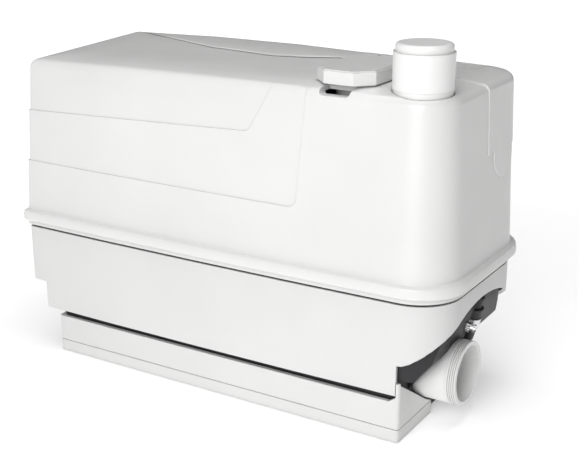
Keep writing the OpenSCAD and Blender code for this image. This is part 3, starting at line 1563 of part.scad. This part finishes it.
module control_box() {
  corner = 5;
  lid_line = 0.6;
  lid_share = 0.8;
  gland_r = 6;
  gland_l = 7;
  screw_r = 2.2;
  centre = [box_x + box_l / 2, box_y + box_w / 2, deck_top];
  color("lightgray") translate(centre) difference() {
    union() {
      linear_extrude(box_h * lid_share) rounded_rect(box_l, box_w, corner);
      up(box_h * lid_share) linear_extrude(lid_line) rounded_rect(box_l - 2 * lid_line, box_w - 2 * lid_line, corner - lid_line);
      up(box_h * lid_share + lid_line) linear_extrude(box_h * (1 - lid_share) - lid_line)
        rounded_rect(box_l, box_w, corner);
      for (y = [-1, 1]) translate([0, y * box_w / 4, box_h / 3]) on_x() {
        cylinder(r = gland_r, h = box_l / 2 + gland_l / 2);
        cylinder(r = gland_r / 2 + screw_r, h = box_l / 2 + gland_l);
      }
    }
    for (x = [-1, 1], y = [-1, 1]) translate([x * (box_l / 2 - corner), y * (box_w / 2 - corner), box_h - lid_line])
      cylinder(r = screw_r, h = overrun);
  }
}
module capacitor() {
  edge = 2;
  post_r = 1.6;
  post_h = 7;
  strap_h = 8;
  strap_t = 1.4;
  color("silver") translate([capacitor_x, capacitor_y, deck_top]) {
    cylinder(r = capacitor_r, h = capacitor_h - edge);
    up(capacitor_h - edge) cylinder(r1 = capacitor_r, r2 = capacitor_r - edge, h = edge);
    up(capacitor_h / 3) cylinder(r = capacitor_r + strap_t, h = strap_h);
    for (x = [-1, 1]) translate([x * capacitor_r / 3, 0, capacitor_h - edge]) cylinder(r = post_r, h = edge + post_h);
  }
}
module cable_grommet() {
  depth = 3;
  color("dimgray") at_pocket() difference() {
    translate([pocket_l / 2 - grommet_l + seat_fit, pocket_w / 2, grommet_z + seat_fit])
      cube([grommet_l - 2 * seat_fit - pocket_r / 2, depth, grommet_h - 2 * seat_fit]);
    translate([pocket_l / 2 - grommet_l / 2 - pocket_r / 4, 0, grommet_z + grommet_h / 2]) rotate([-90, 0, 0]) cylinder(r = cable_r, h = far);
  }
}

foot_pads();
base_plate();
base_skirt();
inner_tank();
tank_shell();
tank_seal();
machine_deck();
main_cover();
vent_seat();
vent_lid();
lid_gasket();
lid_hinge_pin();
vent_filter();
vent_pipe();
inlet_spigot();
inlet_flap();
inlet_flap_pin();
left_spigot();
left_blanking_cap();
breather_hose();
hose_clips();
clip_screws();
pump_casing();
casing_cover();
suction_plate();
impeller();
impeller_nut();
motor_shaft();
seal_seat();
seal_head();
pump_column();
motor_flange();
lower_bearing();
stator_housing();
stator_core();
stator_winding();
rotor_core();
motor_end_shield();
upper_bearing();
cooling_fan();
fan_cowl();
motor_bolts();
riser_pipe();
valve_body();
valve_flap();
valve_pin();
valve_cap();
discharge_pipe();
discharge_tube();
tube_cap();
level_switch();
switch_plunger();
pressure_bell();
control_box();
capacitor();
cable_grommet();
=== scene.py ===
import json
import math

import bpy
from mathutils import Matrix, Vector

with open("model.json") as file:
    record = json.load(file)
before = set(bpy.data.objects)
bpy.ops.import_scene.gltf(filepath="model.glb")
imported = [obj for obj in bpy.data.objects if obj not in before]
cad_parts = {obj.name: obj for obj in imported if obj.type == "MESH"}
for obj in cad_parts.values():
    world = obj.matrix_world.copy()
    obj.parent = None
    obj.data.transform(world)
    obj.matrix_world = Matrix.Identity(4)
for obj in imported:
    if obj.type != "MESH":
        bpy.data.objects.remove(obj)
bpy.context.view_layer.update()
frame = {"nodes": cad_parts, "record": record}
scene = bpy.context.scene

# Camera at the photograph's angle: metres, and degrees down and to the left
EYE = (0.4772, -0.752, 0.410)
PITCH = 18.556
YAW = 31.33
SENSOR_MM = 36.0
LENS_MM = 70.9
FAR_CLIP = 50.0
camera_data = bpy.data.cameras.new("camera")
camera_data.sensor_width = SENSOR_MM
camera_data.lens = LENS_MM
camera_data.clip_end = FAR_CLIP
camera = bpy.data.objects.new("camera", camera_data)
camera.location = EYE
camera.rotation_euler = (math.radians(90 - PITCH), 0, math.radians(YAW))
scene.collection.objects.link(camera)
scene.camera = camera

scene.view_settings.view_transform = "Standard"
scene.view_settings.look = "None"
scene.view_settings.exposure = 0.0
scene.view_settings.gamma = 1.0


# Materials. Distances are metres, colours linear, and noise scales the grains to a metre.
BEVEL_SAMPLES = 6
HOLLOW_SAMPLES = 8
FACE_DOT = 0.995
EDGE_DOT = 0.86
GAP_REACH = 0.004
GRAIN_DEPTH = 0.0002
PIT_DEPTH = 0.0003
RUBBER_EDGE = 0.0007
METAL_EDGE = 0.0004


class Tree:
    """A material's node tree, with short names for the nodes that every finish here uses."""

    def __init__(self, name):
        self.material = bpy.data.materials.new(name)
        self.material.use_nodes = True
        self.nodes = self.material.node_tree.nodes
        self.links = self.material.node_tree.links
        self.shader = self.nodes["Principled BSDF"]
        self.coord = self.nodes.new("ShaderNodeTexCoord").outputs["Object"]

    def link(self, a, b):
        self.links.new(a, b)

    def noise(self, scale, detail=3.0, roughness=0.5, stretch=None):
        vector = self.coord
        if stretch:
            mapping = self.nodes.new("ShaderNodeMapping")
            mapping.inputs["Scale"].default_value = stretch
            self.link(vector, mapping.inputs["Vector"])
            vector = mapping.outputs["Vector"]
        node = self.nodes.new("ShaderNodeTexNoise")
        node.inputs["Scale"].default_value = scale
        node.inputs["Detail"].default_value = detail
        node.inputs["Roughness"].default_value = roughness
        self.link(vector, node.inputs["Vector"])
        return node.outputs["Fac"]

    def remap(self, value, low, high, to_low, to_high):
        node = self.nodes.new("ShaderNodeMapRange")
        node.inputs["From Min"].default_value = low
        node.inputs["From Max"].default_value = high
        node.inputs["To Min"].default_value = to_low
        node.inputs["To Max"].default_value = to_high
        self.link(value, node.inputs["Value"])
        return node.outputs["Result"]

    def mix(self, factor, a, b):
        node = self.nodes.new("ShaderNodeMix")
        node.data_type = "RGBA"
        self.link(factor, node.inputs["Factor"])
        for value, target in ((a, node.inputs[6]), (b, node.inputs[7])):
            if isinstance(value, tuple):
                target.default_value = (*value, 1.0)
            else:
                self.link(value, target)
        return node.outputs[2]

    def edges(self, radius):
        """1 on the edges of the solid, 0 on its faces; and the rounded normal."""
        bevel = self.nodes.new("ShaderNodeBevel")
        bevel.samples = BEVEL_SAMPLES
        bevel.inputs["Radius"].default_value = radius
        geometry = self.nodes.new("ShaderNodeNewGeometry")
        dot = self.nodes.new("ShaderNodeVectorMath")
        dot.operation = "DOT_PRODUCT"
        self.link(bevel.outputs["Normal"], dot.inputs[0])
        self.link(geometry.outputs["Normal"], dot.inputs[1])
        return self.remap(dot.outputs["Value"], EDGE_DOT, FACE_DOT, 1.0, 0.0), bevel.outputs["Normal"]

    def hollows(self, distance):
        """0 in gaps and corners, 1 in the open."""
        node = self.nodes.new("ShaderNodeAmbientOcclusion")
        node.samples = HOLLOW_SAMPLES
        node.inputs["Distance"].default_value = distance
        return node.outputs["AO"]

    def bump(self, height, strength, distance, normal=None):
        node = self.nodes.new("ShaderNodeBump")
        node.inputs["Strength"].default_value = strength
        node.inputs["Distance"].default_value = distance
        self.link(height, node.inputs["Height"])
        if normal is not None:
            self.link(normal, node.inputs["Normal"])
        return node.outputs["Normal"]


def shade(color, factor):
    return tuple(min(1.0, c * factor) for c in color)


def moulded(name, color, rough=0.35, grain=0.06, grain_scale=1400.0, edge=0.0006, edge_highlight_tint=1.06,
            gap_shade_tint=0.72, cloud=0.03, coat=0.0, level=0.5):
    """Moulded plastic: faint clouding, a fine grain, softened edges with a painted highlight, and painted
    shade in the gaps.
    """
    tree = Tree(name)
    cloud_fac = tree.remap(tree.noise(9.0, 4.0), 0.3, 0.7, 0.0, 1.0)
    body = tree.mix(cloud_fac, shade(color, 1.0 - cloud), shade(color, 1.0 + cloud))
    mask, normal = tree.edges(edge)
    # Painted highlight: the colour is lightened along the edges of the solid.
    body = tree.mix(mask, body, shade(color, edge_highlight_tint))
    # Painted shade: the colour is darkened in gaps and corners, where the ambient occlusion is low.
    gap_shade = tree.remap(tree.hollows(GAP_REACH), 0.35, 1.0, 1.0, 0.0)
    body = tree.mix(gap_shade, body, shade(color, gap_shade_tint))
    tree.link(body, tree.shader.inputs["Base Color"])
    speckle = tree.noise(60.0, 5.0, 0.6)
    tree.link(tree.remap(speckle, 0.25, 0.75, rough - 0.05, rough + 0.07), tree.shader.inputs["Roughness"])
    bump = tree.bump(tree.noise(grain_scale, 2.0), grain, GRAIN_DEPTH, normal)
    tree.link(bump, tree.shader.inputs["Normal"])
    tree.shader.inputs["Specular IOR Level"].default_value = level
    tree.shader.inputs["Coat Weight"].default_value = coat
    tree.shader.inputs["Coat Roughness"].default_value = 0.2
    return tree.material


def rubber(name, color, rough=0.62, grain=0.25, dust=1.7):
    """Rubber: dull, finely pitted, dusty on its edges."""
    tree = Tree(name)
    dusty = tree.remap(tree.noise(35.0, 6.0, 0.65), 0.45, 0.8, 0.0, 1.0)
    body = tree.mix(dusty, color, shade(color, dust))
    mask, normal = tree.edges(RUBBER_EDGE)
    body = tree.mix(mask, body, shade(color, dust * 1.3))
    tree.link(body, tree.shader.inputs["Base Color"])
    pits = tree.noise(90.0, 4.0)
    tree.link(tree.remap(pits, 0.3, 0.7, rough - 0.08, rough + 0.08), tree.shader.inputs["Roughness"])
    tree.link(tree.bump(tree.noise(700.0, 4.0), grain, PIT_DEPTH, normal), tree.shader.inputs["Normal"])
    tree.shader.inputs["Specular IOR Level"].default_value = 0.4
    return tree.material


def metal(name, color, rough=0.3, brushed=None, grain=0.1, wear=1.2):
    """Metal: brushed along one direction or cast, brighter on its worn edges."""
    tree = Tree(name)
    streak = tree.noise(220.0, 4.0, 0.6, brushed or (1.0, 1.0, 1.0))
    body = tree.mix(tree.remap(streak, 0.3, 0.7, 0.0, 1.0), shade(color, 0.88), shade(color, 1.06))
    mask, normal = tree.edges(METAL_EDGE)
    body = tree.mix(mask, body, shade(color, wear))
    tree.link(body, tree.shader.inputs["Base Color"])
    tree.link(tree.remap(streak, 0.25, 0.75, rough - 0.08, rough + 0.12), tree.shader.inputs["Roughness"])
    tree.link(tree.bump(streak, grain, GRAIN_DEPTH, normal), tree.shader.inputs["Normal"])
    tree.shader.inputs["Metallic"].default_value = 1.0
    return tree.material


WHITE = (0.72, 0.72, 0.715)
looks = {
    "white_cover": moulded("white_cover", WHITE, rough=0.34, coat=0.2, edge=0.0009, edge_highlight_tint=1.25,
                           gap_shade_tint=0.92),
    # The tank's white is the cover's white darkened: painted shade on the lower body.
    "white_tank": moulded("white_tank", shade(WHITE, 0.93), rough=0.38),
    # A lighter copy of the white: painted light for the pipes that catch the lamps.
    "white_pipe_painted_light": moulded("white_pipe_painted_light", shade(WHITE, 1.13), rough=0.34, coat=0.1),
    "dark_tank": moulded("dark_tank", (0.024, 0.024, 0.026), rough=0.5, edge_highlight_tint=1.6, gap_shade_tint=0.5,
                         grain=0.12, cloud=0.08, level=0.35),
    "black_rubber": rubber("black_rubber", (0.022, 0.022, 0.024)),
    "hose_rubber": rubber("hose_rubber", (0.020, 0.020, 0.022), rough=0.5, grain=0.15),
    "clip_steel": metal("clip_steel", (0.76, 0.76, 0.77), rough=0.28, brushed=(1.0, 1.0, 0.05), grain=0.02),
    "steel": metal("steel", (0.60, 0.60, 0.61), rough=0.32, brushed=(1.0, 1.0, 0.05)),
    "pipe_plastic": moulded("pipe_plastic", (0.62, 0.62, 0.60), rough=0.45),
    "pump_plastic": moulded("pump_plastic", (0.040, 0.043, 0.048), rough=0.5, edge_highlight_tint=1.7, grain=0.12),
    "casing_grey": moulded("casing_grey", (0.20, 0.21, 0.22), rough=0.48),
    "impeller_plastic": moulded("impeller_plastic", (0.52, 0.49, 0.43), rough=0.5),
    "seal_ceramic": moulded("seal_ceramic", (0.78, 0.76, 0.70), rough=0.18, grain=0.02),
    "seal_black": rubber("seal_black", (0.020, 0.020, 0.020), rough=0.5),
    "motor_aluminium": metal("motor_aluminium", (0.58, 0.59, 0.60), rough=0.5, grain=0.4),
    "lamination": metal("lamination", (0.20, 0.20, 0.21), rough=0.5, brushed=(0.05, 0.05, 6.0)),
    "copper": metal("copper", (0.62, 0.25, 0.10), rough=0.35, brushed=(0.3, 0.3, 4.0)),
    "cowl_paint": moulded("cowl_paint", (0.050, 0.054, 0.060), rough=0.42, edge_highlight_tint=1.5),
    "filter_charcoal": rubber("filter_charcoal", (0.018, 0.018, 0.018), rough=0.85, grain=0.9),
    "box_grey": moulded("box_grey", (0.42, 0.44, 0.45), rough=0.5),
    "capacitor_can": metal("capacitor_can", (0.66, 0.67, 0.68), rough=0.28, brushed=(1.0, 1.0, 0.04)),
}
slots = {part["node"]: part["material_slot"] for part in frame["record"]["subparts"]}
# The pipes that show get a lighter copy of the white than the tank's shell: painted light on them.
for node in ("inlet_spigot", "left_spigot", "discharge_tube", "tube_cap"):
    slots[node] = "white_pipe_painted_light"
for node, piece in frame["nodes"].items():
    material = looks[slots[node]]
    if piece.material_slots:
        for entry in piece.material_slots:
            entry.material = material
    else:
        piece.data.materials.append(material)

# Round surfaces are shaded smooth; their sharp edges stay sharp
SHARP_ANGLE = 24
JOIN_DISTANCE = 0.000002
ROUND_NODES = ("main_cover", "machine_deck", "tank_seal", "tank_shell", "inner_tank", "vent_lid",
               "pump_casing")
smooth = bpy.data.node_groups.new("smooth_round_faces", "GeometryNodeTree")
smooth.interface.new_socket("Geometry", in_out="INPUT", socket_type="NodeSocketGeometry")
smooth.interface.new_socket("Geometry", in_out="OUTPUT", socket_type="NodeSocketGeometry")
start = smooth.nodes.new("NodeGroupInput")
end = smooth.nodes.new("NodeGroupOutput")
plain = smooth.nodes.new("GeometryNodeRemoveAttribute")
plain.inputs["Name"].default_value = "custom_normal"
joined = smooth.nodes.new("GeometryNodeMergeByDistance")
joined.inputs["Distance"].default_value = JOIN_DISTANCE
faces = smooth.nodes.new("GeometryNodeSetShadeSmooth")
faces.domain = "FACE"
angle = smooth.nodes.new("GeometryNodeInputMeshEdgeAngle")
compare = smooth.nodes.new("FunctionNodeCompare")
compare.operation = "GREATER_THAN"
compare.inputs[1].default_value = math.radians(SHARP_ANGLE)
keep_sharp = smooth.nodes.new("GeometryNodeSetShadeSmooth")
keep_sharp.domain = "EDGE"
keep_sharp.inputs["Shade Smooth"].default_value = False
smooth.links.new(start.outputs[0], plain.inputs["Geometry"])
smooth.links.new(plain.outputs["Geometry"], joined.inputs["Geometry"])
smooth.links.new(joined.outputs["Geometry"], faces.inputs["Geometry"])
smooth.links.new(angle.outputs["Unsigned Angle"], compare.inputs[0])
smooth.links.new(faces.outputs["Geometry"], keep_sharp.inputs["Geometry"])
smooth.links.new(compare.outputs["Result"], keep_sharp.inputs["Selection"])
smooth.links.new(keep_sharp.outputs["Geometry"], end.inputs[0])
for node in ROUND_NODES:
    frame["nodes"][node].modifiers.new("smooth", "NODES").node_group = smooth

# Floor, sky and lights. The floor glows more behind the pump, so that it stays white there.
FLOOR_REACH = 12.0
GLOW_FROM, GLOW_TO = 0.15, 1.6
GLOW_NEAR, GLOW_FAR = 0.34, 1.0
SKY_STRENGTH = 0.08
floor_tree = Tree("floor")
floor_cloud = floor_tree.remap(floor_tree.noise(3.0, 3.0), 0.3, 0.7, 0.0, 1.0)
floor_shade = floor_tree.mix(floor_cloud, (0.93, 0.93, 0.93), (0.96, 0.96, 0.96))
floor_tree.link(floor_shade, floor_tree.shader.inputs["Base Color"])
floor_tree.shader.inputs["Roughness"].default_value = 0.9
floor_tree.shader.inputs["Emission Color"].default_value = (1.0, 1.0, 1.0, 1.0)
behind = floor_tree.nodes.new("ShaderNodeVectorMath")
behind.operation = "DOT_PRODUCT"
behind.inputs[1].default_value = (-math.sin(math.radians(YAW)), math.cos(math.radians(YAW)), 0.0)
floor_tree.link(floor_tree.coord, behind.inputs[0])
floor_tree.link(floor_tree.remap(behind.outputs["Value"], GLOW_FROM, GLOW_TO, GLOW_NEAR, GLOW_FAR),
                floor_tree.shader.inputs["Emission Strength"])
floor_mesh = bpy.data.meshes.new("floor")
corners = [(x * FLOOR_REACH, y * FLOOR_REACH, 0) for x, y in ((-1, -1), (1, -1), (1, 1), (-1, 1))]
floor_mesh.from_pydata(corners, [], [(0, 1, 2, 3)])
floor_mesh.materials.append(floor_tree.material)
floor = bpy.data.objects.new("floor", floor_mesh)
scene.collection.objects.link(floor)

world = bpy.data.worlds.new("sky")
world.use_nodes = True
scene.world = world
world.node_tree.nodes["Background"].inputs["Color"].default_value = (1.0, 1.0, 1.0, 1.0)
world.node_tree.nodes["Background"].inputs["Strength"].default_value = SKY_STRENGTH


def soft_light(name, place, aim, size, power):
    """A rectangular lamp at a place, turned to what it lights; metres and watts."""
    data = bpy.data.lights.new(name, "AREA")
    data.shape = "RECTANGLE"
    data.size, data.size_y = size
    data.energy = power
    lamp = bpy.data.objects.new(name, data)
    lamp.location = place
    lamp.rotation_euler = (Vector(aim) - Vector(place)).to_track_quat("-Z", "Y").to_euler()
    scene.collection.objects.link(lamp)


soft_light("front_light", (0.32, -1.30, 0.66), (0.08, 0.0, 0.16), (0.8, 0.7), 12.0)
soft_light("top_light", (0.1, -0.2, 2.2), (0.0, 0.0, 0.0), (1.8, 1.8), 30.0)
